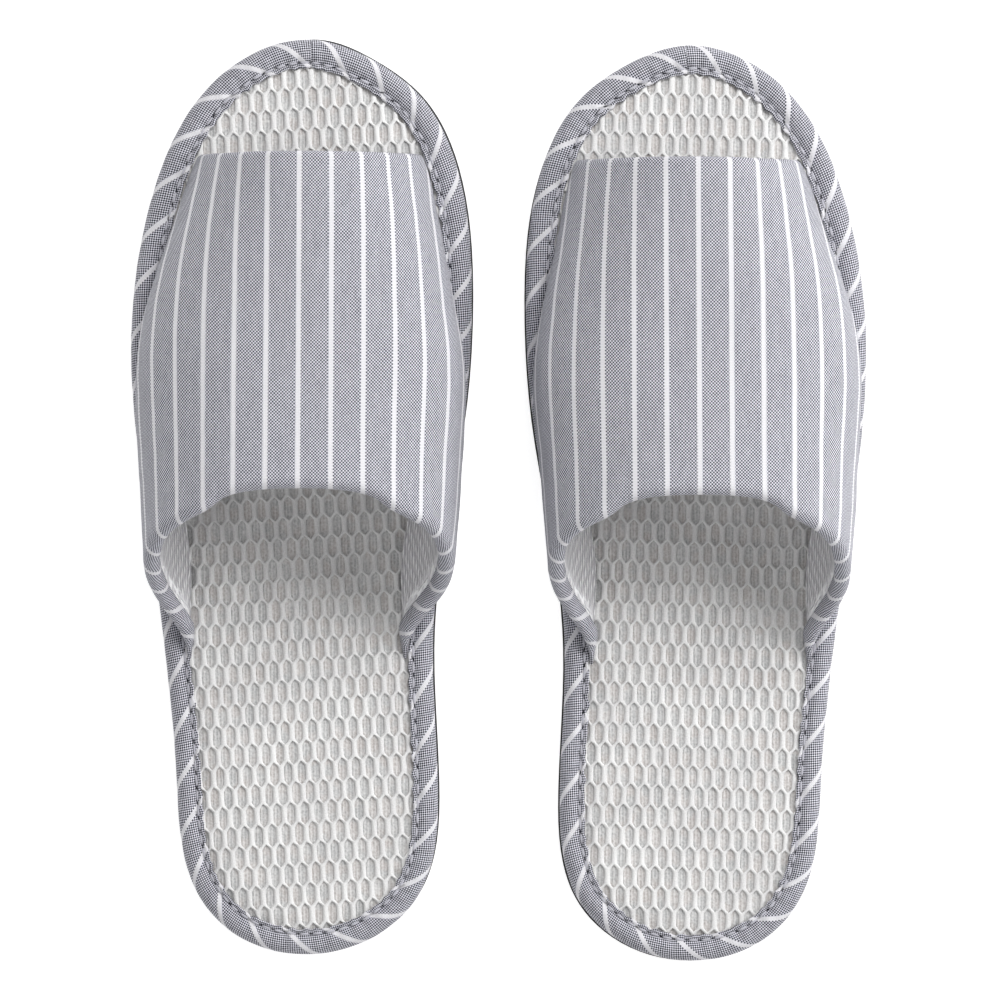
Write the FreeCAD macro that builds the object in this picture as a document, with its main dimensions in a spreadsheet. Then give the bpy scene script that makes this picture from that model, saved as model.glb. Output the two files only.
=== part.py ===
import FreeCAD, Part
import math
import os

# A pair of open-toe indoor slippers, left and right, each built up in layers like the real thing:
# a ribbed outsole, an insole stack bound in bias tape, and a padded and lined upper.
# Millimetres. +Z is up, +Y points to the toes, +X to the wearer's right. The origin is on the floor,
# midway between the two slippers. Each slipper is drawn about its own centre, for the left foot with
# the inner side of the foot towards +X, and the right one is its mirror image.

Vector = FreeCAD.Vector

doc = FreeCAD.newDocument("Slippers")

# ---------------------------------------------------------------- driving dimensions
SIZES = {
    "sole_length": 270,          # toe to heel
    "sole_width": 100.4,         # widest, across the ball of the foot
    "pair_spacing": 116.4,       # between the centre lines of the two slippers
    "pair_stagger": 1.8,         # the left slipper stands this far ahead
    "outsole_height": 3.5,
    "outsole_shift": 0.45,       # the outsole is stuck on a little off centre
    "rib_depth": 1.0,
    "rib_width": 2.4,
    "rib_length": 56,
    "rib_pitch": 10,
    "rib_count": 23,
    "tape_height": 12,           # insole stack inside the binding, floor to top
    "tape_thickness": 0.5,
    "tape_over": 7.5,            # how far the binding reaches over the insole
    "tape_under": 9.5,           # and under it
    "tape_roll": 4,              # radius of the rolled upper edge
    "stack_inset": 0.75,         # the layers inside stop this far short of the outline
    "board_height": 1.5,
    "foam_height": 6,
    "base_cloth_height": 0.5,
    "mesh_height": 3,
    "mesh_inset": 1.0,
    "mesh_roll": 2.9,
    "seam_line": 6.5,            # stitch line, in from the outline
    "thread_width": 0.6,
    "thread_height": 0.4,
    "upper_foot": 8.6,           # outer face of the upper where it meets the insole
    "cloth_thickness": 0.6,
    "padding_thickness": 2.8,
    "lining_thickness": 1.6,
    "layer_gap": 0.15,
    "toe_edge": 101.8,           # front edge of the upper, ahead of the slipper's centre
    "toe_arch": 25,              # height of the upper over the insole at the toe edge
    "instep_reach": 50.2,        # how far the instep bulges sideways
    "instep_run": 70,            # from the toe edge back to the fullest section
    "wing_tuck": 3,              # the wings lean in by this much
    "wing_run": 50,              # over this length behind the slipper's centre
}

sheet = doc.addObject("Spreadsheet::Sheet", "sizes")
for row, (alias, value) in enumerate(SIZES.items(), start=1):
    sheet.set("A%d" % row, alias)
    sheet.set("B%d" % row, str(value))
    sheet.setAlias("B%d" % row, alias)
doc.recompute()


def size(alias):
    """One driving dimension, read back from the sheet."""
    return float(sheet.get(alias))


# Sole outline, anticlockwise from the toe: fractions of half the width and half the length.
OUTLINE = [
    (0.06, 1.0), (-0.32, 0.963), (-0.60, 0.874), (-0.88, 0.656), (-1.0, 0.37), (-0.982, 0.174),
    (-0.90, -0.06), (-0.812, -0.31), (-0.735, -0.61), (-0.595, -0.877), (-0.36, -0.963),
    (0.03, -1.0), (0.42, -0.963), (0.675, -0.877), (0.8, -0.63), (0.772, -0.31),
    (0.842, -0.07), (0.955, 0.174), (1.0, 0.45), (0.955, 0.656), (0.703, 0.874), (0.38, 0.963),
]

# Side view of the throat edge, from the top of the instep down to the end of a wing:
# forward of the slipper's centre, and above the floor.
THROAT = [(6.5, 76), (3.5, 69.5), (-3.8, 65.5), (-15.3, 50), (-32.5, 28), (-50.5, 12)]
THROAT_SLOPE = 0.75              # how steeply that edge falls: a setback counts for more along Y

# Half of the upper's cross-section as Bezier poles, from its top outwards and down, in shares of its
# reach and of its height. It has the first shape at the toe edge and the second over the instep.
TOE_SECTION = [(0, 1), (0.37, 1), (0.61, 0.82), (0.9, 0.38)]
INSTEP_SECTION = [(0, 1), (0.48, 1), (0.89, 0.89), (1.15, 0.4)]
INSTEP_FLARE = 0.13              # how far the instep leans out over its foot, as a share of its reach
FOOT_RISE = (2, 4)               # height of the lowest pole but one, at the toe edge and the instep

# Height of the top of the upper: how it climbs behind the toe edge, per mm and per square mm.
TOP_CLIMB = 0.22
TOP_SWELL = 0.00078

ARCH_STATIONS = [108, 84, 58, 32, 4, -24, -54]   # where the cross-sections of the upper are taken
INSET_STEPS = 44                 # points taken from a curve to draw it again further in
ARCH_STEPS = 8                   # points of half a cross-section
PLUG_DEPTH = 3                   # the space under the upper is drawn down to this far below the insole
CLEAR = 400                      # larger than any slipper


def outline_points(hand):
    """The hand-picked outline points of a left (hand 1) or right (hand -1) sole."""
    across = size("sole_width") / 2
    along = size("sole_length") / 2
    points = [Vector(hand * x * across, y * along, 0) for x, y in OUTLINE]
    return points if hand > 0 else points[::-1]


def outline_curve(hand, inset=0.0, shift=Vector()):
    """The closed sole outline, moved in by inset and then by shift."""
    curve = Part.BSplineCurve()
    curve.interpolate(Points=outline_points(hand), PeriodicFlag=True)
    if inset:
        first = curve.FirstParameter
        last = curve.LastParameter
        moved = []
        for step in range(INSET_STEPS):
            place = first + (last - first) * step / INSET_STEPS
            along = curve.tangent(place)[0]
            inward = Vector(-along.y, along.x, 0)
            moved.append(curve.value(place) + inward * inset)
        curve = Part.BSplineCurve()
        curve.interpolate(Points=moved, PeriodicFlag=True)
    curve.translate(shift)
    return curve


# ---------------------------------------------------------------- PartDesign helpers
def make_body(label):
    body = doc.addObject("PartDesign::Body", label)
    body.Label = label
    return body


def quarters(curve):
    """A closed curve as four joined arcs, which bound a face more exactly than one seamless loop."""
    first = curve.FirstParameter
    step = (curve.LastParameter - first) / 4
    arcs = []
    for number in range(4):
        arc = curve.copy()
        arc.segment(first + number * step, first + (number + 1) * step)
        arcs.append(arc)
    return arcs


def add_sketch(body, name, curves, height="0"):
    """A sketch of closed curves on the body's own XY plane, lifted by an expression."""
    sketch = body.newObject("Sketcher::SketchObject", name)
    plane = [part for part in body.Origin.OriginFeatures if part.Role == "XY_Plane"][0]
    sketch.AttachmentSupport = [(plane, "")]
    sketch.MapMode = "FlatFace"
    sketch.setExpression("AttachmentOffset.Base.z", height)
    for curve in curves:
        sketch.addGeometry(quarters(curve), False)
    return sketch


def add_feature(body, kind, name, sketch, length, reverse=False):
    """A Pad or Pocket of a sketch, its length bound to the sheet."""
    feature = body.newObject("PartDesign::" + kind, name)
    feature.Profile = sketch
    feature.setExpression("Length", length)
    feature.Reversed = reverse
    doc.recompute()
    return feature


def round_edge(body, name, base, height, radius):
    """Rounds the outline edge of base that lies flat at a height."""
    edges = []
    for number, edge in enumerate(base.Shape.Edges, start=1):
        box = edge.BoundBox
        if box.ZLength < 0.01 and abs(box.ZMin - height) < 0.01:
            edges.append("Edge%d" % number)
    fillet = body.newObject("PartDesign::Fillet", name)
    fillet.Base = (base, edges)
    fillet.setExpression("Radius", radius)
    doc.recompute()
    return fillet


def stand(item, hand):
    """Stands a finished piece at its own slipper's place in the pair."""
    item.setExpression("Placement.Base.x", "%d * sizes.pair_spacing / 2" % -hand)
    item.setExpression("Placement.Base.y", "%d * sizes.pair_stagger / 2" % hand)


# ---------------------------------------------------------------- sole
def make_outsole(side, hand):
    """Thin ribbed outsole, with a channel on top for the bobbin thread."""
    body = make_body(side + "_outsole")
    shift = Vector(hand * size("outsole_shift"), hand * size("outsole_shift"), 0)
    outline = add_sketch(body, side + "_outsole_outline", [outline_curve(hand, 0, shift)])
    slab = add_feature(body, "Pad", side + "_outsole_slab", outline, "sizes.outsole_height")

    half = size("thread_width") / 2 + size("layer_gap")
    rings = [outline_curve(hand, size("seam_line") - half), outline_curve(hand, size("seam_line") + half)]
    channel = add_sketch(body, side + "_outsole_channel_line", rings, "sizes.outsole_height")
    add_feature(body, "Pocket", side + "_outsole_channel", channel, "sizes.thread_height + sizes.layer_gap")
    before = body.Shape.Volume

    rib = add_sketch(body, side + "_outsole_rib_outline", [])
    end = (size("rib_length") - size("rib_width")) / 2
    radius = size("rib_width") / 2
    row = -size("rib_pitch") * (size("rib_count") - 1) / 2
    up = Vector(0, 0, 1)
    for way in (-1, 1):
        rib.addGeometry(Part.LineSegment(Vector(-way * end, row + way * -radius, 0),
                                         Vector(way * end, row + way * -radius, 0)), False)
        circle = Part.Circle(Vector(way * end, row, 0), up, radius)
        start = -math.pi / 2 if way > 0 else math.pi / 2
        rib.addGeometry(Part.ArcOfCircle(circle, start, start + math.pi), False)
    groove = add_feature(body, "Pocket", side + "_outsole_rib", rib, "sizes.rib_depth", reverse=True)

    pattern = body.newObject("PartDesign::LinearPattern", side + "_outsole_ribs")
    pattern.Originals = [groove]
    pattern.Direction = (rib, ["V_Axis"])
    pattern.Mode = "Spacing"
    pattern.setExpression("Offset", "sizes.rib_pitch")
    pattern.setExpression("Occurrences", "sizes.rib_count")
    body.Tip = pattern
    doc.recompute()
    one_rib = size("rib_depth") * size("rib_width") * end * 2
    if before - body.Shape.Volume < one_rib * size("rib_count"):
        raise RuntimeError(body.Label + ": the ribs were not cut")
    stand(body, hand)
    return body


def make_layer(side, hand, name, inset, base, height):
    """One flat layer of the insole stack."""
    body = make_body("%s_%s" % (side, name))
    outline = add_sketch(body, body.Label + "_outline", [outline_curve(hand, size(inset))], base)
    add_feature(body, "Pad", body.Label + "_slab", outline, height)
    return body


def make_thread(side, hand, name, base):
    """A line of stitching, followed round the whole sole."""
    body = make_body("%s_%s" % (side, name))
    half = size("thread_width") / 2
    rings = [outline_curve(hand, size("seam_line") - half), outline_curve(hand, size("seam_line") + half)]
    line = add_sketch(body, body.Label + "_line", rings, base)
    add_feature(body, "Pad", body.Label + "_strand", line, "sizes.thread_height")
    stand(body, hand)
    return body


def make_binding(side, hand):
    """Bias tape folded round the edge of the insole: a hollow ring, open in the middle above and below."""
    body = make_body(side + "_sole_binding")
    bottom = size("outsole_height")
    top = bottom + size("tape_height")
    wall = size("tape_thickness")

    outline = add_sketch(body, side + "_binding_outline", [outline_curve(hand)], "sizes.outsole_height")
    block = add_feature(body, "Pad", side + "_binding_block", outline, "sizes.tape_height")
    outer = round_edge(body, side + "_binding_roll", block, top, "sizes.tape_roll")
    solid = outer.Shape.Volume

    # the room for the insole stack, as a second body that is taken away from the first
    core = make_body(side + "_binding_core")
    core_line = add_sketch(core, side + "_binding_core_outline", [outline_curve(hand, wall)],
                           "sizes.outsole_height + sizes.tape_thickness")
    filling = add_feature(core, "Pad", side + "_binding_core_block", core_line,
                          "sizes.tape_height - 2 * sizes.tape_thickness")
    round_edge(core, side + "_binding_core_roll", filling, top - wall,
               "sizes.tape_roll - sizes.tape_thickness")
    hollow = body.newObject("PartDesign::Boolean", side + "_binding_hollow")
    hollow.Type = "Cut"
    hollow.addObjects([core])
    body.Tip = hollow
    doc.recompute()

    mouth = add_sketch(body, side + "_binding_mouth_line", [outline_curve(hand, size("tape_over"))],
                       "sizes.outsole_height + sizes.tape_height")
    add_feature(body, "Pocket", side + "_binding_mouth", mouth, "2 * sizes.tape_thickness")
    under = add_sketch(body, side + "_binding_under_line", [outline_curve(hand, size("tape_under"))],
                       "sizes.outsole_height")
    add_feature(body, "Pocket", side + "_binding_under", under, "2 * sizes.tape_thickness", reverse=True)
    if body.Shape.Volume > solid / 4:
        raise RuntimeError(body.Label + ": the binding was not hollowed")
    stand(body, hand)
    return body


# ---------------------------------------------------------------- upper
def mix(low, high, share):
    return low + (high - low) * share


def foot_reach(hand, way, place):
    """Half the width of the upper where it meets the insole, at a place along the slipper.
    way is 1 towards +X and -1 towards -X."""
    curve = outline_curve(hand, size("upper_foot"))
    row = Part.LineSegment(Vector(0, place, 0), Vector(way * size("sole_width"), place, 0))
    crossing = curve.toShape().distToShape(row.toShape())[1][0][0]
    return abs(crossing.x)


def arch_poles(hand, way, place):
    """Bezier poles of half an arch, from its top to its foot: across and above the insole."""
    foot = foot_reach(hand, way, place)
    wide = size("instep_reach")
    back = size("toe_edge") - place
    top = size("toe_arch") + TOP_CLIMB * back + TOP_SWELL * back * back
    share = min(max(back / size("instep_run"), 0), 1)
    full = share * share * (3 - 2 * share)
    tuck = size("wing_tuck") * min(max(-place / size("wing_run"), 0), 1)
    poles = []
    for (toe_out, toe_up), (instep_out, instep_up) in zip(TOE_SECTION, INSTEP_SECTION):
        across = mix(toe_out * foot, instep_out * wide, full)
        poles.append((across, top * mix(toe_up, instep_up, full)))
    poles[-1] = (poles[-1][0] - tuck, poles[-1][1])
    poles.append((foot + INSTEP_FLARE * wide * full, mix(*FOOT_RISE, full)))
    poles.append((foot, 0))
    return poles


def bezier(poles, share):
    """A point and its outward normal on a Bezier curve."""
    order = len(poles) - 1
    weights = [math.comb(order, i) * share ** i * (1 - share) ** (order - i) for i in range(order + 1)]
    across = sum(weight * pole[0] for weight, pole in zip(weights, poles))
    above = sum(weight * pole[1] for weight, pole in zip(weights, poles))
    slopes = [math.comb(order - 1, i) * share ** i * (1 - share) ** (order - 1 - i) for i in range(order)]
    run = sum(slope * (b[0] - a[0]) for slope, a, b in zip(slopes, poles, poles[1:]))
    fall = sum(slope * (b[1] - a[1]) for slope, a, b in zip(slopes, poles, poles[1:]))
    length = math.hypot(run, fall)
    return across, above, -fall / length, run / length


def arch_wire(hand, place, depth):
    """A closed section of the space under the upper's outer face, moved in by depth."""
    floor = insole_top()
    points = []
    for way in (-1, 1):
        half = []
        for step in range(ARCH_STEPS + 1):
            across, above, out, up = bezier(arch_poles(hand, way, place), step / ARCH_STEPS)
            half.append(Vector(way * (across - out * depth), place, floor + above - up * depth))
        half[-1].z = floor
        points += half[:0:-1] if way < 0 else half
    arch = Part.BSplineCurve()
    arch.interpolate(Points=points)
    sink = Vector(0, 0, -PLUG_DEPTH)
    left, right = points[0], points[-1]
    sides = [Part.LineSegment(right, right + sink),
             Part.LineSegment(right + sink, left + sink),
             Part.LineSegment(left + sink, left)]
    return Part.Wire([arch.toShape()] + [line.toShape() for line in sides])


def insole_top():
    return size("outsole_height") + size("tape_height") - size("tape_thickness")


def plug(hand, depth):
    """Everything inside the upper's outer face, less a skin of the given depth."""
    return Part.makeLoft([arch_wire(hand, place, depth) for place in ARCH_STATIONS], True, False)


def upper_block(setback):
    """The space an upper may fill: over the insole, behind its toe edge and under its throat edge."""
    wide = size("sole_width")
    edge = Part.BSplineCurve()
    edge.interpolate(Points=[Vector(-wide, y + setback / THROAT_SLOPE, z) for y, z in THROAT])
    top = edge.value(edge.FirstParameter)
    low = edge.value(edge.LastParameter)
    toe = size("toe_edge") - setback
    ceiling = Vector(-wide, toe, top.z)
    corner = Vector(-wide, toe, low.z)
    lines = [Part.LineSegment(low, corner), Part.LineSegment(corner, ceiling),
             Part.LineSegment(ceiling, top)]
    face = Part.Face(Part.Wire([edge.toShape()] + [line.toShape() for line in lines]))
    return face.extrude(Vector(2 * wide, 0, 0))


def make_upper(side, hand):
    """Outer cloth turned over both edges, with padding and lining nested inside it."""
    cloth = size("cloth_thickness")
    gap = size("layer_gap")
    padding_in = cloth + size("padding_thickness")
    lining_in = padding_in + size("lining_thickness")
    floor = insole_top()
    over = Part.makeBox(CLEAR, CLEAR, CLEAR, Vector(-CLEAR / 2, -CLEAR / 2, floor))

    room = plug(hand, lining_in)
    whole = plug(hand, 0).common(upper_block(0)).common(over)
    filling = plug(hand, cloth).common(upper_block(cloth))
    inner = upper_block(cloth + gap).common(over)
    shapes = {
        "upper_outer": whole.cut(filling).cut(room),
        "upper_padding": plug(hand, cloth + gap).common(inner).cut(plug(hand, padding_in)),
        "upper_lining": plug(hand, padding_in + gap).common(inner).cut(room),
    }
    made = []
    for name, shape in shapes.items():
        item = doc.addObject("Part::Feature", "%s_%s" % (side, name))
        item.Label = "%s_%s" % (side, name)
        item.Shape = shape
        stand(item, hand)
        made.append(item)
    return made


# ---------------------------------------------------------------- the pair
STACK = [
    ("insole_board", "board_height"),
    ("foam_cushion", "foam_height"),
    ("insole_base_cloth", "base_cloth_height"),
]

pieces = []
for side, hand in (("left", 1), ("right", -1)):
    pieces.append(make_outsole(side, hand))
    base = "sizes.outsole_height + sizes.tape_thickness"
    for name, height in STACK:
        layer = make_layer(side, hand, name, "stack_inset", base, "sizes." + height)
        stand(layer, hand)
        pieces.append(layer)
        base += " + sizes." + height
    mesh = make_layer(side, hand, "spacer_mesh", "mesh_inset", base, "sizes.mesh_height")
    round_edge(mesh, side + "_spacer_mesh_roll", mesh.Tip, insole_top(), "sizes.mesh_roll")
    stand(mesh, hand)
    pieces.append(mesh)
    pieces.append(make_binding(side, hand))
    pieces.append(make_thread(side, hand, "needle_thread", "sizes.outsole_height + sizes.tape_height"))
    pieces.append(make_thread(side, hand, "bobbin_thread", "sizes.outsole_height - sizes.thread_height"))
    pieces += make_upper(side, hand)
doc.recompute()

# ---------------------------------------------------------------- checks and export
for item in doc.Objects:
    if "Invalid" in item.State or "Error" in item.State:
        raise RuntimeError("%s failed: %s" % (item.Label, item.State))
for item in pieces:
    if item.Shape.isNull() or not item.Shape.isValid() or not item.Shape.Solids:
        raise RuntimeError(item.Label + " has no valid solid")

os.makedirs("parts", exist_ok=True)
for item in pieces:
    item.Shape.exportStep("parts/%s.step" % item.Label)
    box = item.Shape.optimalBoundingBox()
    print("%-24s %d solid(s) %9.0f mm3  x %.1f..%.1f  y %.1f..%.1f  z %.1f..%.1f" % (
        item.Label, len(item.Shape.Solids), item.Shape.Volume,
        box.XMin, box.XMax, box.YMin, box.YMax, box.ZMin, box.ZMax))
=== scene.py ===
import math

import bmesh
import bpy
import numpy as np
from mathutils import Matrix, Vector, noise


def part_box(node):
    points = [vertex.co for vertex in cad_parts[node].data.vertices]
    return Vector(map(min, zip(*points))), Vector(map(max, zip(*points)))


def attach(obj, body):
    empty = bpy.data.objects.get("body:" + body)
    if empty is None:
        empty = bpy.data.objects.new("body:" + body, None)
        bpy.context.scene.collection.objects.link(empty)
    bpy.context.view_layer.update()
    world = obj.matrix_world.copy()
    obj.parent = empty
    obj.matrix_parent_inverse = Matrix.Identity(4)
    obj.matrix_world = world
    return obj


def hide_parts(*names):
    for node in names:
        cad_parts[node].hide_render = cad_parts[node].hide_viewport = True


# The looks of a pair of open-toe slippers. Lengths in this file are in millimetres and are turned
# into metres where a mesh is made. Each slipper is drawn about the middle of its own sole, toes
# towards +Y, with the inner side of a left foot towards +X. The right one is its mirror image.

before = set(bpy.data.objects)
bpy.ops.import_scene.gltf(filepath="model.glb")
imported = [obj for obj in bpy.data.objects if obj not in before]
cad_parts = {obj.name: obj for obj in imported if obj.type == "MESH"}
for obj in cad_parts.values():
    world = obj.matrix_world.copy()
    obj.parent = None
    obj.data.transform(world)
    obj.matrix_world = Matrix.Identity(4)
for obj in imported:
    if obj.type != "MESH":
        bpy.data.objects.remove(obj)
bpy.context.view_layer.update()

MM = 0.001
SIDES = {"left": 1, "right": -1}

# ---------------------------------------------------------------- sizes that the pieces share
# Sole outline, anticlockwise from the toe: shares of half its width and half its length.
OUTLINE = [
    (0.06, 1.0), (-0.32, 0.963), (-0.60, 0.874), (-0.88, 0.656), (-1.0, 0.37), (-0.982, 0.174),
    (-0.90, -0.06), (-0.812, -0.31), (-0.735, -0.61), (-0.595, -0.877), (-0.36, -0.963),
    (0.03, -1.0), (0.42, -0.963), (0.675, -0.877), (0.8, -0.63), (0.772, -0.31),
    (0.842, -0.07), (0.955, 0.174), (1.0, 0.45), (0.955, 0.656), (0.703, 0.874), (0.38, 0.963),
]
# Side view of the throat edge, from the instep down to the end of a wing: how far ahead of the
# middle, and how far above the floor.
THROAT = [(9.5, 82), (3.5, 69.5), (-3.8, 65.5), (-15.3, 50), (-32.5, 28), (-42, 19.2), (-49.4, 14.6),
          (-57, 12.2)]

INSOLE_TOP = 15.0
UPPER_FOOT = 8.6         # the upper's outer face meets the insole this far in from the outline
TOE_EDGE = 101.8
TOE_ARCH = 25.0
REACH = 50.2             # sideways reach of the instep, before the seam pulls it in
WALL = 5.0               # thickness of the padded upper
ROLL = WALL / 2          # radius of the rolled throat edge
WING_ROLL = 1.7          # and low on a wing
TIP_ROLL = 0.45          # and where the wing runs out
TOE_ROLL = 2.0

STRIPE_PITCH = 9.5
STRIPE_WIDTH = 1.45
YARN = 0.48
STITCH = 4.5             # lockstitch pitch
SEAM = 6.4               # stitch line, in from the outline

HEX_ACROSS = 4.02
HEX_ALONG = 6.0
NET_TURN = {"left": 4.3, "right": -2.2}


# ---------------------------------------------------------------- curves
LOOP_STEPS = 60          # fine steps between two points of a closed curve
LINE_STEPS = 24          # and of an open one
RIM_POINTS = 1440        # points of a sole's outline


def smooth_loop(points, count):
    """count points, evenly spaced, on a smooth closed curve through points."""
    knots = np.array(points, float)
    gaps = np.linalg.norm(np.roll(knots, -1, 0) - knots, axis=1)
    size = len(knots)
    system = np.zeros((size, size))
    right = np.zeros((size, 2))
    for i in range(size):
        before, after = gaps[i - 1], gaps[i]
        nxt = (i + 1) % size
        system[i, i - 1] += before
        system[i, i] += 2 * (before + after)
        system[i, nxt] += after
        right[i] = 6 * ((knots[nxt] - knots[i]) / after - (knots[i] - knots[i - 1]) / before)
    bend = np.linalg.solve(system, right)
    fine = []
    for i in range(size):
        nxt = (i + 1) % size
        gap = gaps[i]
        for share in np.arange(LOOP_STEPS) / LOOP_STEPS:
            a, b = 1 - share, share
            fine.append(a * knots[i] + b * knots[nxt]
                        + gap * gap / 6 * ((a ** 3 - a) * bend[i] + (b ** 3 - b) * bend[nxt]))
    fine = np.array(fine + [fine[0]])
    return evenly(fine, count + 1)[:-1]


def evenly(line, count):
    """The same line with count points, evenly spaced."""
    along = np.concatenate([[0], np.cumsum(np.linalg.norm(np.diff(line, axis=0), axis=1))])
    at = np.linspace(0, along[-1], count)
    return np.stack([np.interp(at, along, line[:, k]) for k in range(line.shape[1])], axis=1)


def smooth_line(points, count):
    """count evenly spaced points on a smooth open curve through points."""
    knots = np.array(points, float)
    padded = np.vstack([2 * knots[0] - knots[1], knots, 2 * knots[-1] - knots[-2]])
    fine = []
    for i in range(len(knots) - 1):
        p0, p1, p2, p3 = padded[i:i + 4]
        for t in np.arange(LINE_STEPS) / LINE_STEPS:
            bend = (2 * p0 - 5 * p1 + 4 * p2 - p3) * t ** 2 + (3 * p1 - p0 - 3 * p2 + p3) * t ** 3
            fine.append(0.5 * (2 * p1 + (p2 - p0) * t + bend))
    fine.append(knots[-1])
    return evenly(np.array(fine), count)


def mix(low, high, share):
    return low + (high - low) * share


def ease(share):
    share = np.clip(share, 0, 1)
    return share * share * (3 - 2 * share)


class Sole:
    """The outline of one sole in its own frame, and where that frame stands in the pair."""

    def __init__(self, side):
        self.side = side
        self.hand = SIDES[side]
        low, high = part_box(side + "_sole_binding")
        self.middle = (Vector(low) + Vector(high)) / 2 / MM
        half = (Vector(high) - Vector(low)) / 2 / MM
        loop = smooth_loop([(x * REACH, y * half.y) for x, y in OUTLINE], RIM_POINTS)
        span = loop.max(0) - loop.min(0)
        loop = (loop - (loop.max(0) + loop.min(0)) / 2) * np.array([2 * half.x, 2 * half.y]) / span
        self.loop = loop
        along = np.roll(loop, -1, 0) - np.roll(loop, 1, 0)
        along /= np.linalg.norm(along, axis=1)[:, None]
        self.inward = np.stack([-along[:, 1], along[:, 0]], axis=1)
        self.length = float(np.linalg.norm(np.roll(loop, -1, 0) - loop, axis=1).sum())

    def rim(self, share, inset):
        """A point of the outline, a share of the way round from the toe, moved in by inset."""
        at = (share % 1.0) * len(self.loop)
        i = int(at) % len(self.loop)
        j = (i + 1) % len(self.loop)
        part = at - int(at)
        point = mix(self.loop[i], self.loop[j], part)
        inward = mix(self.inward[i], self.inward[j], part)
        return point + inward * inset

    def reach(self, way, ahead):
        """Half the width of the upper's foot, towards way, at places ahead of the sole's middle."""
        ring = self.loop + self.inward * UPPER_FOOT
        side = ring[ring[:, 0] * way > 0]
        side = side[np.argsort(side[:, 1])]
        return np.abs(np.interp(ahead, side[:, 1], side[:, 0]))

    def nearest(self, points):
        """For each point, the nearest place of the outline and how far inside it the point is."""
        gaps = points[:, None, :] - self.loop[None, :, :]
        far = (gaps ** 2).sum(2)
        near = far.argmin(1)
        inward = (gaps[np.arange(len(points)), near] * self.inward[near]).sum(1)
        return near, np.sign(inward) * np.sqrt(far.min(1))

    def depth(self, points):
        return self.nearest(points)[1]

    def kept_in(self, points, least):
        """The same points, those nearer the outline than least moved in to it."""
        near, depth = self.nearest(points)
        edge = self.loop[near] + self.inward[near] * least
        return np.where((depth < least)[:, None], edge, points)

    def place(self, point):
        """A point of this slipper's own frame, in metres in the pair's frame."""
        return Vector((self.hand * point[0] + self.middle.x, point[1] + self.middle.y, point[2])) * MM


# ---------------------------------------------------------------- mesh helpers
def finish_piece(sole, name, bm, material, node):
    """Puts a piece drawn in a slipper's own frame into the scene, riding on that slipper."""
    for vert in bm.verts:
        vert.co = sole.place(vert.co)
    if sole.hand < 0:
        bmesh.ops.reverse_faces(bm, faces=bm.faces)
    for face in bm.faces:
        face.smooth = True
    mesh = bpy.data.meshes.new(name)
    bm.to_mesh(mesh)
    bm.free()
    piece = bpy.data.objects.new(name, mesh)
    bpy.context.scene.collection.objects.link(piece)
    mesh.materials.append(material)
    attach(piece, sole.side + "_slipper")
    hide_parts(sole.side + "_" + node)
    return piece


def bent_grid(points, maps, closed=False):
    """A grid with one vertex for each point of a table (across, along, 3), and UV maps from tables of
    the same size. A closed one joins up across."""
    across, along = points.shape[:2]
    bm = bmesh.new()
    bmesh.ops.create_grid(bm, x_segments=across - 1, y_segments=along - 1, size=0.5)
    seats = {}
    for vert in bm.verts:
        seats[vert] = (round((vert.co.x + 0.5) * (across - 1)), round((vert.co.y + 0.5) * (along - 1)))
    layers = [(bm.loops.layers.uv.new(name), table) for name, table in maps.items()]
    for face in bm.faces:
        for loop in face.loops:
            seat = seats[loop.vert]
            for layer, table in layers:
                loop[layer].uv = table[seat]
    for vert, seat in seats.items():
        vert.co = points[seat]
    if closed:
        bmesh.ops.remove_doubles(bm, verts=bm.verts, dist=0.001)
    return bm


def add_modifier(piece, kind, **settings):
    modifier = piece.modifiers.new(kind.lower(), kind)
    for key, value in settings.items():
        setattr(modifier, key, value)
    return modifier


def grid_normals(points):
    """Unit normals of a table of points (across, along, 3)."""
    across = np.gradient(points, axis=0)
    along = np.gradient(points, axis=1)
    normal = np.cross(across, along)
    return normal / np.maximum(np.linalg.norm(normal, axis=2)[:, :, None], 1e-9)


# ---------------------------------------------------------------- shader helpers
class Number:
    """A shader value that can be added, multiplied and so on, each operation making its Math node."""

    def __init__(self, finish, socket):
        self.finish = finish
        self.socket = socket

    def math(self, operation, *others):
        inputs = dict(enumerate((self,) + others))
        return self.finish.node("ShaderNodeMath", {"operation": operation}, inputs)

    def __add__(self, other):
        return self.math("ADD", other)

    def __mul__(self, other):
        return self.math("MULTIPLY", other)

    def __sub__(self, other):
        return self.math("SUBTRACT", other)

    def __truediv__(self, other):
        return self.math("DIVIDE", other)

    def sine(self):
        return self.math("SINE")

    def size(self):
        return self.math("ABSOLUTE")

    def floor(self):
        return self.math("FLOOR")

    def rest(self):
        """The part after the point."""
        return self.math("FRACT")

    def clamp(self):
        return self.math("MINIMUM", 1.0).math("MAXIMUM", 0.0)

    def fade(self, start, end):
        """0 at start and 1 at end, smoothly, whichever is the larger."""
        return self.finish.node("ShaderNodeMapRange", {"interpolation_type": "SMOOTHSTEP"},
                                {0: self, 1: start, 2: end, 3: 0.0, 4: 1.0})


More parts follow.
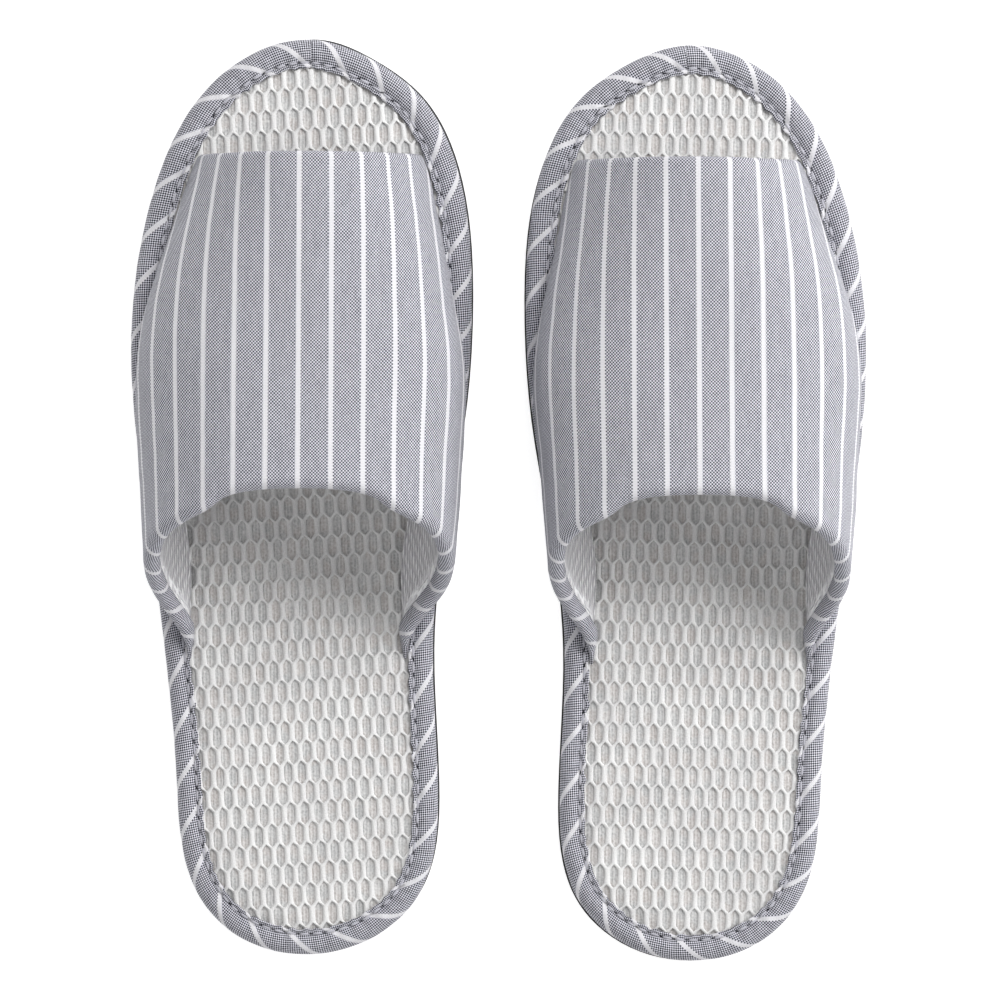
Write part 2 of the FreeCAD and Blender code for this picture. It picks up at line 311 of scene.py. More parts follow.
class Finish:
    """A material with one Principled shader."""

    def __init__(self, name, roughness=0.85, sheen=0.0):
        self.material = bpy.data.materials.new(name)
        self.material.use_nodes = True
        self.tree = self.material.node_tree
        self.shader = self.tree.nodes["Principled BSDF"]
        self.shader.inputs["Roughness"].default_value = roughness
        self.shader.inputs["Sheen Weight"].default_value = sheen
        self.shader.inputs["Specular IOR Level"].default_value = 0.25

    def node(self, kind, settings=None, inputs=None, output=0):
        """Makes a node from its settings, and its inputs' values or links, and gives one output."""
        made = self.tree.nodes.new(kind)
        for key, value in (settings or {}).items():
            if key == "stops":
                ramp = made.color_ramp
                while len(ramp.elements) < len(value):
                    ramp.elements.new(0.5)
                for element, (place, colour) in zip(ramp.elements, value):
                    element.position = place
                    element.color = colour
            else:
                setattr(made, key, value)
        for key, value in (inputs or {}).items():
            if isinstance(value, Number):
                self.tree.links.new(value.socket, made.inputs[key])
            else:
                made.inputs[key].default_value = value
        return Number(self, made.outputs[output])

    def feed(self, name, value):
        self.tree.links.new(value.socket, self.shader.inputs[name])

    def parts(self, place):
        """The first two coordinates of a place."""
        first = self.node("ShaderNodeSeparateXYZ", inputs={0: place})
        return first, Number(self, first.socket.node.outputs[1])

    def uv(self, name):
        """The two coordinates of a UV map."""
        return self.parts(self.node("ShaderNodeUVMap", {"uv_map": name}))

    def at(self, x, y):
        return self.node("ShaderNodeCombineXYZ", inputs={0: x, 1: y})

    def object_place(self):
        """The object's own coordinates, in millimetres."""
        place = self.node("ShaderNodeTexCoord", output=3)
        return self.node("ShaderNodeVectorMath", {"operation": "SCALE"}, {0: place, 3: 1 / MM})

    def cloud(self, place, scale, detail=2.0, roughness=0.5):
        """Smooth random values from 0 to 1."""
        return self.node("ShaderNodeTexNoise", inputs={
            "Vector": place, "Scale": scale, "Detail": detail, "Roughness": roughness})

    def speckle(self, place):
        """A random value for each whole-numbered place."""
        return self.node("ShaderNodeTexWhiteNoise", {"noise_dimensions": "2D"}, {"Vector": place})

    def blend(self, share, first, second):
        """A colour between two, each a colour or a link."""
        return self.node("ShaderNodeMix", {"data_type": "RGBA"}, {0: share, 6: first, 7: second}, 2)

    def shade(self, colour, share):
        """A colour made darker by a share."""
        grey = self.node("ShaderNodeCombineColor", inputs={0: share, 1: share, 2: share})
        return self.node("ShaderNodeMix", {"data_type": "RGBA", "blend_type": "MULTIPLY"},
                         {0: 1.0, 6: colour, 7: grey}, 2)

    def bump(self, height, distance, strength=1.0):
        self.feed("Normal", self.node("ShaderNodeBump", inputs={
            "Height": height, "Distance": distance, "Strength": strength}))


def paint(red, green, blue):
    """A colour given as it looks on a screen, 0 to 255."""
    def linear(value):
        value /= 255
        return value / 12.92 if value <= 0.04045 else ((value + 0.055) / 1.055) ** 2.4
    return (linear(red), linear(green), linear(blue), 1.0)


# ---------------------------------------------------------------- materials
LIGHT_YARN = paint(225, 225, 233)
DARK_YARN = paint(60, 61, 74)
STRIPE_YARN = paint(230, 229, 233)
PRESSED_YARN = paint(206, 206, 213)      # along the foot of the upper
TAPE_LIGHT = paint(222, 222, 231)
TAPE_DARK = paint(28, 29, 42)
# painted shade in the seam's needle holes
NEEDLE_HOLE_SHADE = paint(34, 34, 42)
WEFT = YARN * 1.06
WEAVE_RELIEF = 0.00018
STRIPE_BLUR = 0.12
STRIPE_TEETH = 0.14
LINING_STRAND = 1.25                     # pitch of the lining's strands
LINING_SLIT = 5.2                        # and of the slits along them
LINING_PAINTED_GLOW = 0.07                       # painted light: how strongly the lining glows
BASE_RIB = 1.05                          # pitch of the base knit's ribs


def woven(finish, light=LIGHT_YARN, dark=DARK_YARN):
    """Plain weave with pale warp and blue-grey weft, and white stripes along the warp.
    The cloth map holds millimetres across and along the warp."""
    across, along = finish.uv("cloth")
    wobble = finish.cloud(finish.at(across * 0.05, along * 0.05), 1.0) - 0.5
    warp = across / YARN
    weft = (along + wobble * 0.5) / WEFT
    over = (warp * math.pi).sine() * (weft * math.pi).sine()
    cell = finish.speckle(finish.at(warp.floor(), weft.floor()))
    heather = finish.cloud(finish.at(across * 0.5, along * 0.14), 1.0, 3.0, 0.6)
    pale = (over * 1.5 + 0.41 + (cell - 0.5) * 0.16 + (heather - 0.5) * 0.4).clamp()

    from_stripe = ((across / STRIPE_PITCH + 0.5).rest() - 0.5).size() * STRIPE_PITCH
    teeth = (weft * math.pi).sine() * STRIPE_TEETH
    edge = STRIPE_WIDTH / 2
    stripe = (from_stripe + teeth).fade(edge + STRIPE_BLUR, edge - STRIPE_BLUR)
    ground = finish.blend(pale, dark, light)
    # painted shade: the white stripe is darker between weft rows, in the grooves of the weave
    groove_shade = (weft * math.pi).sine().size() * 0.12 + 0.86
    white = finish.shade(STRIPE_YARN, groove_shade)
    height = over.size() * 0.6 + pale * 0.2 + stripe * 0.35
    return finish.blend(stripe, ground, white), height


def upper_cloth():
    finish = Finish("striped_upper_cloth", 0.9, 0.1)
    colour, height = woven(finish)
    from_foot, _ = finish.uv("hem")
    pressed = from_foot.fade(1.6, 0.4) * 0.4
    finish.feed("Base Color", finish.blend(pressed, colour, PRESSED_YARN))
    finish.bump(height, WEAVE_RELIEF, 0.6)
    return finish.material


def bias_tape():
    """The same cloth cut on the bias, with painted shade in the seam's needle holes and along its stitch
    line.
    """
    finish = Finish("striped_bias_tape", 0.9, 0.1)
    colour, height = woven(finish, TAPE_LIGHT, TAPE_DARK)
    along, inset = finish.uv("seam")
    beat = along + 0.5
    from_hole = (beat.rest() - 0.5) * STITCH
    pulled = finish.speckle(finish.at(beat.floor(), 1.0))
    from_line = inset - SEAM - from_hole * (pulled - 0.5) * 0.8
    # painted shade: dark in each needle hole, and lighter shade along the fold of the stitch line
    hole = (from_hole * from_hole * 1.3 + from_line * from_line * 9.0).fade(1.0, 0.3)
    crease_shade = from_line.size().fade(0.55, 0.1) * 0.35
    shadow = (hole * (pulled.fade(0.15, 0.75) * 0.75 + 0.2)).math("MAXIMUM", crease_shade)
    finish.feed("Base Color", finish.blend(shadow, colour, NEEDLE_HOLE_SHADE))
    finish.bump(height, WEAVE_RELIEF, 0.6)
    return finish.material


def thread():
    finish = Finish("sewing_thread", 0.8, 0.2)
    place = finish.object_place()
    ply = finish.cloud(place, 3.0)
    finish.feed("Base Color", finish.blend(ply, paint(166, 166, 175), paint(208, 207, 215)))
    finish.bump(ply, 0.0001)
    return finish.material


def net_knit():
    """White knitted net: fine loops on every strand."""
    finish = Finish("spacer_mesh_knit", 0.8, 0.1)
    place = finish.object_place()
    loops = finish.cloud(place, 2.6, 2.0)
    fade = finish.cloud(place, 0.05, 2.0)
    tone = (loops * 0.5 + fade * 0.5).fade(0.3, 0.7)
    finish.feed("Base Color", finish.blend(tone, paint(217, 216, 216), paint(239, 239, 238)))
    finish.bump(loops, 0.00025, 0.8)
    return finish.material


def base_knit():
    """Grey knit under the net, ribbed fore and aft, with small hollows painted dark as shade. Its darker
    greys are partly its own colour and partly painted shade of the net's deep holes.
    """
    finish = Finish("insole_base_knit", 0.9)
    place = finish.object_place()
    pit_relief_and_shade = finish.node("ShaderNodeTexVoronoi", inputs={"Vector": place, "Scale": 1.5})
    patches = finish.cloud(place, 0.12, 3.0)
    across, along = finish.parts(place)
    rib = (across * (2 * math.pi / BASE_RIB)).sine() * 0.5 + 0.5
    # painted shade: the knit is darker in its small hollows
    tone = (pit_relief_and_shade * 0.5 + rib * 0.22 + patches * 0.5 - 0.12).clamp()
    warmth = finish.cloud(finish.at(across * 0.16, along * 0.16), 1.0).fade(0.4, 0.6)
    dark = finish.blend(warmth, paint(158, 160, 161), paint(170, 162, 158))
    finish.feed("Base Color", finish.blend(tone, dark, paint(237, 236, 235)))
    finish.bump(pit_relief_and_shade * 0.7 + rib * 0.5, 0.0003, 0.8)
    return finish.material


def lining_knit():
    """Light grey knitted mesh: long strands with slits between them, and a row of plump loops beside
    the throat roll, set lighter. The slits and low places are painted darker as shade, and the lining is
    painted pale and glows faintly as painted light, so that it looks lit inside the shaded upper."""
    finish = Finish("lining_mesh", 0.85, 0.1)
    across, along = finish.uv("cloth")
    _, from_throat = finish.uv("hem")
    wave = finish.cloud(finish.at(across * 0.12, along * 0.12), 1.0) - 0.5
    from_middle = across.size()
    column = (from_middle - along * 0.16 + wave * 2.0) / LINING_STRAND
    row = along / LINING_SLIT + (column.floor() * 0.37).rest()
    strand = (column * 2 * math.pi).sine()
    gap = (row * 2 * math.pi).sine()
    rough = finish.cloud(finish.at(across, along), 1.4)
    knit = strand * 0.42 + gap * 0.26 + rough * 0.5 + 0.22
    loop_place = finish.at(from_middle * 0.62 - along * 0.5, (along + from_middle * 0.35) * 0.28)
    loops = finish.cloud(loop_place, 1.0, 1.0).fade(0.38, 0.62)
    by_roll = from_throat.fade(10.5, 6.5)
    height = (knit + (loops * 0.9 + 0.15 - knit) * by_roll).clamp()
    # painted shade: the colour follows the height, darker in the slits and low places between strands
    shade = finish.blend(height, paint(192, 190, 195), paint(254, 254, 255))
    shade = finish.blend(by_roll * 0.4, shade, paint(252, 252, 254))
    finish.feed("Base Color", shade)
    # painted light: the lining glows faintly in its own colour
    finish.feed("Emission Color", shade)
    finish.shader.inputs["Emission Strength"].default_value = LINING_PAINTED_GLOW
    finish.bump(height, 0.0009, 1.0)
    return finish.material


def outsole_rubber():
    finish = Finish("outsole_rubber", 0.7)
    place = finish.object_place()
    grain = finish.cloud(place, 1.8, 3.0)
    dust = finish.cloud(place, 0.06, 3.0)
    finish.feed("Base Color", finish.blend(dust, paint(46, 46, 48), paint(72, 71, 72)))
    finish.feed("Roughness", grain * 0.2 + 0.6)
    finish.bump(grain, 0.0002, 0.7)
    return finish.material


def inner_layer(name, dark, light, scale):
    """A plain mottled finish for a layer that the binding hides."""
    finish = Finish(name, 0.9)
    mottle = finish.cloud(finish.object_place(), scale, 4.0)
    finish.feed("Base Color", finish.blend(mottle, dark, light))
    finish.bump(mottle, 0.0002, 0.5)
    return finish.material


# ---------------------------------------------------------------- upper
# Half of the upper's cross-section as Bezier poles, from its top outwards and down, in shares of its
# reach and of its height. It has the first shape at the toe edge and the second over the instep.
TOE_SECTION = [(0, 1), (0.37, 1), (0.61, 0.82), (0.9, 0.38)]
INSTEP_SECTION = [(0, 1), (0.48, 1), (0.89, 0.89), (1.15, 0.4)]
# How much further out the throat edge stands, by slipper: on its left and on its right.
SPREAD = {"left": (0.5, 1.6), "right": (-0.2, -0.6)}
SPREAD_FROM = 55                 # where that starts, ahead of the middle, and how far back it grows
SPREAD_RUN = 60
WING_HUG = {-1: 2.2, 1: 1.2}     # how far a wing's end moves out on to the binding: outer, inner side
HUG_FROM = -18
HUG_RUN = 30
WING_TUCK = 3                    # how far the wings lean in, over WING_RUN behind the middle
WING_RUN = 50
INSTEP_RUN = 70                  # from the toe edge back to the fullest section
TOP_CLIMB = 0.22                 # rise of the arch's top for each millimetre back
TOP_SWELL = 0.00078              # and for each square millimetre
INSTEP_FLARE = 0.13              # how far the arch leans out at its foot, as a share of its reach
FOOT_RISE = (2, 4)               # height of that lean at the toe edge and over the instep
UPRIGHT_FROM = -22               # the wings' ends stand up straight instead, from here back
UPRIGHT_RUN = 22
UPRIGHT_RISE = 3
ARCH_PLACES = np.arange(112, -62, -1.5)
ARCH_STEPS = 80
THROAT_STEPS = 200


def arch_poles(sole, way, ahead):
    """Bezier poles of half an arch, from its top to its foot: across and above the insole."""
    foot = float(sole.reach(way, ahead)) + WING_HUG[way] * float(ease((HUG_FROM - ahead) / HUG_RUN))
    spread = SPREAD[sole.side][way * sole.hand > 0]
    wide = REACH + spread * float(ease((SPREAD_FROM - ahead) / SPREAD_RUN))
    back = TOE_EDGE - ahead
    top = TOE_ARCH + TOP_CLIMB * back + TOP_SWELL * back * back
    full = float(ease(back / INSTEP_RUN))
    poles = [(mix(toe[0] * foot, instep[0] * wide, full), top * mix(toe[1], instep[1], full))
             for toe, instep in zip(TOE_SECTION, INSTEP_SECTION)]
    tuck = WING_TUCK * min(max(-ahead / WING_RUN, 0), 1)
    poles[-1] = (poles[-1][0] - tuck, poles[-1][1])
    upright = float(ease((UPRIGHT_FROM - ahead) / UPRIGHT_RUN))
    poles.append((foot + INSTEP_FLARE * wide * full * (1 - upright),
                  mix(*FOOT_RISE, full) + UPRIGHT_RISE * upright))
    poles.append((foot, 0))
    return np.array(poles)


def bezier(poles):
    shares = np.linspace(0, 1, ARCH_STEPS)[:, None]
    order = len(poles) - 1
    return sum(math.comb(order, i) * shares ** i * (1 - shares) ** (order - i) * poles[i]
               for i in range(order + 1))


def arch_fibres(sole, way, fibres):
    """For each fibre of one half of the upper, its run from the toe to the heel: ahead, across, above
    and distance from the middle, as a table (fibre, place, 4)."""
    table = np.zeros((fibres, len(ARCH_PLACES), 4))
    for number, ahead in enumerate(ARCH_PLACES):
        line = bezier(arch_poles(sole, way, ahead))
        girth = np.concatenate([[0], np.cumsum(np.linalg.norm(np.diff(line, axis=0), axis=1))])
        at = np.linspace(0, girth[-1], fibres)
        table[:, number, 0] = ahead
        table[:, number, 1] = way * np.interp(at, girth, line[:, 0])
        table[:, number, 2] = INSOLE_TOP + np.interp(at, girth, line[:, 1])
        table[:, number, 3] = way * at
    return table


def roll_radius(height):
    """Radius of the rolled throat edge, which thins towards the ends of the wings."""
    rise = height - INSOLE_TOP
    return mix(TIP_ROLL, WING_ROLL, ease(rise / 4)) + (ROLL - WING_ROLL) * ease(rise / 32)


def throat_line():
    """Where the throat roll begins, for a height above the floor."""
    line = smooth_line(THROAT, THROAT_STEPS)
    along = np.gradient(line, axis=0)
    along /= np.linalg.norm(along, axis=1)[:, None]
    into = np.stack([-along[:, 1], along[:, 0]], axis=1)
    moved = line + into * roll_radius(line[:, 1])[:, None]
    moved = moved[np.argsort(moved[:, 1])]
    return lambda height: np.interp(height, moved[:, 1], moved[:, 0])


HALF_FIBRES = 76
UPPER_ROWS = 96
CLOTH_THICK = 0.5
LINING_THICK = 0.4
LINING_SINK = 0.25               # the lining lies this far inside the wall's inner face
LINING_FOOT = 1.6                # and goes down behind the net by this much
WADDING_THICK = 1.6
WADDING_DEPTH = 0.9              # below the outer face
WADDING_PART = (slice(5, -5, 3), slice(0, -2, 3))    # the fibres and rows that it follows
ROLL_STEPS = 10                  # round a rolled edge
FLAP = 3.0                       # how far the cloth goes back inside
FLAP_SHARES = (0.35, 0.7, 1.0)
NO_HEM = 40.0                    # hem distance given to the rolled edges, where nothing is pressed
WALL_RUN = 34                    # the wall reaches its full thickness this far from the throat
RIPPLE_PLACE = {"left": 11.0, "right": 47.0}
BROAD_RIPPLE = (0.035, 0.7)      # scale and height
FINE_RIPPLE = (0.12, 0.18)


def upper_skin(sole):
    """The outer face of the upper: points (fibre, row, 3) from the toe edge to the throat edge, with
    cloth coordinates and hem coordinates, which are the distances from the foot and from the throat."""
    edge = throat_line()
    halves = [arch_fibres(sole, way, HALF_FIBRES) for way in (-1, 1)]
    fibres = np.concatenate([halves[0][::-1], halves[1][1:]])
    points = np.zeros((len(fibres), UPPER_ROWS, 3))
    cloth = np.zeros((len(fibres), UPPER_ROWS, 2))
    hem = np.zeros((len(fibres), UPPER_ROWS, 2))
    for number, run in enumerate(fibres):
        foot = np.abs(fibres[0 if number < len(fibres) // 2 else -1][::-1, 3])
        gap = run[:, 0] - edge(run[:, 2])
        cut = int(np.argmax(gap < 0))
        share = gap[cut - 1] / (gap[cut - 1] - gap[cut])
        end = mix(run[cut - 1, 0], run[cut, 0], share)
        ahead = np.linspace(TOE_EDGE - TOE_ROLL, end, UPPER_ROWS)
        up = run[::-1]
        points[number, :, 1] = ahead
        points[number, :, 0] = np.interp(ahead, up[:, 0], up[:, 1])
        points[number, :, 2] = np.interp(ahead, up[:, 0], up[:, 2])
        cloth[number, :, 0] = np.interp(ahead, up[:, 0], up[:, 3])
        step = np.linalg.norm(np.diff(points[number], axis=0), axis=1)
        cloth[number, :, 1] = np.concatenate([[0], np.cumsum(step)])
        hem[number, :, 0] = np.interp(ahead, up[:, 0], foot) - np.abs(cloth[number, :, 0])
        hem[number, :, 1] = cloth[number, -1, 1] - cloth[number, :, 1]
    return points, cloth, hem


def edge_roll(points, normals, cloth, last, radius):
    """Rows that carry an edge row of the upper round a half turn and back inside."""
    row = -1 if last else 0
    inner = -2 if last else 1
    radius = np.broadcast_to(radius, len(points))[:, None]
    edge = points[:, row]
    normal = normals[:, row]
    along_edge = np.gradient(edge, axis=0)
    along_edge /= np.linalg.norm(along_edge, axis=1)[:, None]
    out = np.cross(along_edge, normal)
    out /= np.linalg.norm(out, axis=1)[:, None]
    outwards = edge - points[:, inner]
    out *= np.sign((out * outwards).sum(1))[:, None]
    rows = []
    maps = []
    weave = np.gradient(cloth[:, row], axis=0)
    weave = np.stack([-weave[:, 1], weave[:, 0]], axis=1)
    weave /= np.linalg.norm(weave, axis=1)[:, None]
    weave *= np.sign(weave[:, 1:]) * (1 if last else -1)
    for turn in np.linspace(0, math.pi, ROLL_STEPS)[1:]:
        rows.append(edge + out * radius * math.sin(turn) - normal * radius * (1 - math.cos(turn)))
        maps.append(cloth[:, row] + weave * radius * turn)
    for share in FLAP_SHARES:
        rows.append(edge - out * FLAP * share - normal * 2 * radius)
        maps.append(cloth[:, row] + weave * (radius * math.pi + FLAP * share))
    return np.stack(rows, axis=1), np.stack(maps, axis=1)


def ripple(points, normals, sole):
    """Slight unevenness of padded cloth."""
    moved = points.copy()
    shift = RIPPLE_PLACE[sole.side]
    for i in range(points.shape[0]):
        for j in range(points.shape[1]):
            broad = Vector(points[i, j]) * BROAD_RIPPLE[0] + Vector((shift, 0, 0))
            fine = Vector(points[i, j]) * FINE_RIPPLE[0] + Vector((0, shift, 0))
            moved[i, j] += normals[i, j] * (noise.noise(broad) * BROAD_RIPPLE[1]
                                            + noise.noise(fine) * FINE_RIPPLE[1])
    return moved


def facing(bm, up):
    """Turns all faces so that the highest one looks up, or down."""
    bmesh.ops.recalc_face_normals(bm, faces=bm.faces)
    top = max(bm.faces, key=lambda face: face.calc_center_median().z)
    if (top.normal.z > 0) != up:
        bmesh.ops.reverse_faces(bm, faces=bm.faces)


def with_foot(table, drop=None):
    """A table of the upper with one more fibre at each foot: the same, or straight down by drop."""
    ends = [table[:1].copy(), table[-1:].copy()]
    if drop:
        for end in ends:
            end[:, :, 2] -= drop
    return np.concatenate([ends[0], table, ends[1]])


def make_upper(sole, cloth_finish, lining_finish, wadding_finish):
    """The outer cloth rolled over both edges, the lining inside it, and the wadding between them."""
    skin, cloth, hem = upper_skin(sole)
    normals = grid_normals(skin)
    if normals[len(normals) // 2, UPPER_ROWS // 2, 2] < 0:
        normals = -normals
    skin = ripple(skin, normals, sole)
    roll = roll_radius(skin[:, -1, 2])
    wall = mix(2 * roll[:, None], WALL, ease(hem[:, :, 1] / WALL_RUN))

    throat, throat_map = edge_roll(skin, normals, cloth, True, roll)
    toe, toe_map = edge_roll(skin, normals, cloth, False, TOE_ROLL)
    points = np.concatenate([toe[:, ::-1], skin, throat], axis=1)
    coords = np.concatenate([toe_map[:, ::-1], cloth, throat_map], axis=1)
    hems = np.concatenate([np.full(toe_map.shape, NO_HEM), hem, np.full(throat_map.shape, NO_HEM)],
                          axis=1)
    bm = bent_grid(points, {"cloth": coords, "hem": hems})
    facing(bm, True)
    outer = finish_piece(sole, sole.side + "_upper_cloth", bm, cloth_finish,
                         "upper_outer")
    add_modifier(outer, "SOLIDIFY", thickness=CLOTH_THICK * MM, offset=-1.0)

    inside = skin - normals * (wall - LINING_SINK)[:, :, None]
    bm = bent_grid(with_foot(inside, LINING_FOOT), {"cloth": with_foot(cloth), "hem": with_foot(hem)})
    facing(bm, False)
    lining = finish_piece(sole, sole.side + "_upper_inner_lining", bm, lining_finish,
                          "upper_lining")
    add_modifier(lining, "SOLIDIFY", thickness=LINING_THICK * MM, offset=-1.0)

    core = skin[WADDING_PART] - normals[WADDING_PART] * WADDING_DEPTH
    bm = bent_grid(core, {"cloth": cloth[WADDING_PART]})
    facing(bm, True)
    wadding = finish_piece(sole, sole.side + "_wadding", bm, wadding_finish,
                           "upper_padding")
    add_modifier(wadding, "SOLIDIFY", thickness=WADDING_THICK * MM, offset=-1.0)


# ---------------------------------------------------------------- sole
TAPE_PROFILE = [
    (8.1, 15.35), (7.4, 15.5), (6.9, 15.25), (6.4, 14.75), (5.7, 15.15), (4.4, 15.6), (2.9, 15.55),
    (1.4, 14.95), (0.45, 13.8), (0.0, 12.2), (0.0, 9.4), (0.02, 6.6), (0.06, 4.7), (0.35, 3.78),
    (1.3, 3.58), (4.2, 3.57), (9.4, 3.57),
]
TAPE_ROWS = 34
TAPE_THICK = 0.35
TAPE_REACH = (0.955, 0.06, 0.055)    # its mean, and how it varies once and twice round the sole
TAPE_SLANT = 39.6                # degrees between the stripes and the tape's edge, about
TOP_SIDE = 10                    # heights over this are on the tape's upper side
LIP = 6.9                        # insets over this are in its ruffled inner lip
CROWN = 4.2                      # inset of its crown
SEAM_DENT = 0.55
NO_SEAM = 20.0                   # seam distance given to the rest of the tape
STITCH_STEPS = 8
THREAD_TOP = 14.95
BEAD_SHARES = (0.2, 0.8)         # where a bead of thread starts and ends between two needle holes
BEAD_SIZE = (0.64, 0.36, 0.34)   # its half length as a share of that, half width and half height


def tape_reach(share):
    """How far the tape comes in over the insole, as a share of its usual reach: most at the toe."""
    turn = 2 * math.pi * share
    mean, once, twice = TAPE_REACH
    return mean + once * math.cos(turn) + twice * math.cos(2 * turn)


def stitch_count(sole):
    return round(sole.length / STITCH)


def make_tape(sole, material):
    """Bias tape rolled over the edge of the sole, drawn in at every stitch, with a ruffled inner lip."""
    stitches = stitch_count(sole)
    columns = stitches * STITCH_STEPS
    profile = smooth_line(TAPE_PROFILE, TAPE_ROWS)
    spread = np.concatenate([[0], np.cumsum(np.linalg.norm(np.diff(profile, axis=0), axis=1))])
    stripes = round(sole.length * math.sin(math.radians(TAPE_SLANT)) / STRIPE_PITCH)
    bias = math.asin(stripes * STRIPE_PITCH / sole.length)
    points = np.zeros((columns + 1, TAPE_ROWS, 3))
    cloth = np.zeros((columns + 1, TAPE_ROWS, 2))
    seam = np.zeros((columns + 1, TAPE_ROWS, 2))
    for column in range(columns + 1):
        share = column / columns
        beat = share * stitches
        pull = 0.5 + 0.5 * math.cos(2 * math.pi * beat)
        puff = noise.noise(Vector((share * 90, 3.7 * sole.hand, 0)))
        lip = noise.noise(Vector((share * 260, 9.1 * sole.hand, 0)))
        run = -share * sole.length * sole.hand
        for row, (flat, level) in enumerate(profile):
            inset, height = flat, level
            if level > TOP_SIDE:
                near = math.exp(-((flat - SEAM) / 0.7) ** 2)
                crown = math.exp(-((flat - CROWN) / 1.6) ** 2)
                edge = 1.0 if flat > LIP else 0
                inset *= tape_reach(share)
                height += -SEAM_DENT * pull * near + (0.12 - 0.3 * pull + 0.25 * puff) * crown
                height += edge * (0.3 * lip + 0.15 - 0.3 * pull)
                inset += edge * (0.6 * lip - 0.25 * pull) + 0.12 * puff
            points[column, row, :2] = sole.rim(share, inset)
            points[column, row, 2] = height
            cloth[column, row] = (run * math.sin(bias) + spread[row] * math.cos(bias),
                                  run * math.cos(bias) - spread[row] * math.sin(bias))
            seam[column, row] = (beat, flat if level > TOP_SIDE else NO_SEAM)
    bm = bent_grid(points, {"cloth": cloth, "seam": seam}, closed=True)
    bmesh.ops.recalc_face_normals(bm, faces=bm.faces)
    side = max(bm.faces, key=lambda face: face.calc_center_median().y)
    if side.normal.y < 0:
        bmesh.ops.reverse_faces(bm, faces=bm.faces)
    tape = finish_piece(sole, sole.side + "_bias_tape", bm, material,
                        "sole_binding")
    add_modifier(tape, "SOLIDIFY", thickness=TAPE_THICK * MM, offset=-1.0)


def make_stitches(sole, material):
    """The top thread: one short bead between each pair of needle holes."""
    stitches = stitch_count(sole)
    bm = bmesh.new()
    for number in range(stitches):
        seam = SEAM * tape_reach(number / stitches)
        start, end = [np.append(sole.rim((number + share) / stitches, seam), THREAD_TOP)
                      for share in BEAD_SHARES]
        along = Vector(end - start)
        turn = math.atan2(along.y, along.x)
        place = Matrix.Translation(Vector((start + end) / 2)) @ Matrix.Rotation(turn, 4, "Z")
        place = place @ Matrix.Diagonal((along.length * BEAD_SIZE[0], *BEAD_SIZE[1:], 1))
        bmesh.ops.create_uvsphere(bm, u_segments=8, v_segments=6, radius=1.0, matrix=place)
    finish_piece(sole, sole.side + "_top_stitches", bm, material, "needle_thread")


NET_RISE = 0.35                  # the net stands this much over the insole's height
NET_RINGS = ((0.21, 0.1), (0.1, 0.4), (0.05, 0.66))  # a strand's steps into a hole: width, depth
NET_POINT = 0.135                # length of a hole's pointed end, as a share of a row
NET_SHAPED = 0.5                 # holes are shaped in the rings above this depth
NET_UNEVEN = (0.4, 0.12)         # scale and height of its unevenness
NET_DRAWN = ((5.5, 6.0), (0.0, 5.0))     # insets and runs over which it is drawn down a millimetre
NET_HALF_LENGTH = 138
NET_SPARE = (6, 8)               # more cells across and along, since the net is turned
NET_EDGE = 1.6                   # the net stops this far from the outline
CELL_EDGE = 2.0                  # and has no hole nearer than this
HOLE_NARROW = 0.86
HOLE_VARIES = (0.31, 0.06)       # scale and size of the differences in that
HOLE_LONG = 1.025
HOLE_ROUND = 0.1
BASE_DROP = 0.76                 # the base knit lies this far under the top of the net
BASE_RINGS = 7
BASE_AROUND = 180
BASE_REACH = (1.2, 22)           # insets of its outer and inner rings, inside which it is one face


def insole_height(sole, points):
    """Height of the top of the net: nearly flat, and drawn down where the binding holds it."""
    inside = sole.depth(points)
    drawn = sum(1 - ease((inside - start) / run) for start, run in NET_DRAWN)
    return INSOLE_TOP + NET_RISE - drawn


def shape_hole(cell):
    """Makes one hole narrower and a little longer, and rounds its corners."""
    middle = cell.calc_center_median()
    narrow = HOLE_NARROW + noise.noise(middle * HOLE_VARIES[0]) * HOLE_VARIES[1]
    verts = list(cell.verts)
    before = [vert.co.copy() for vert in verts]
    for i, vert in enumerate(verts):
        beside = (before[i - 1] + before[(i + 1) % len(verts)]) / 2
        vert.co = before[i].lerp(beside, HOLE_ROUND)
        vert.co.x = middle.x + (vert.co.x - middle.x) * narrow
        vert.co.y = middle.y + (vert.co.y - middle.y) * HOLE_LONG


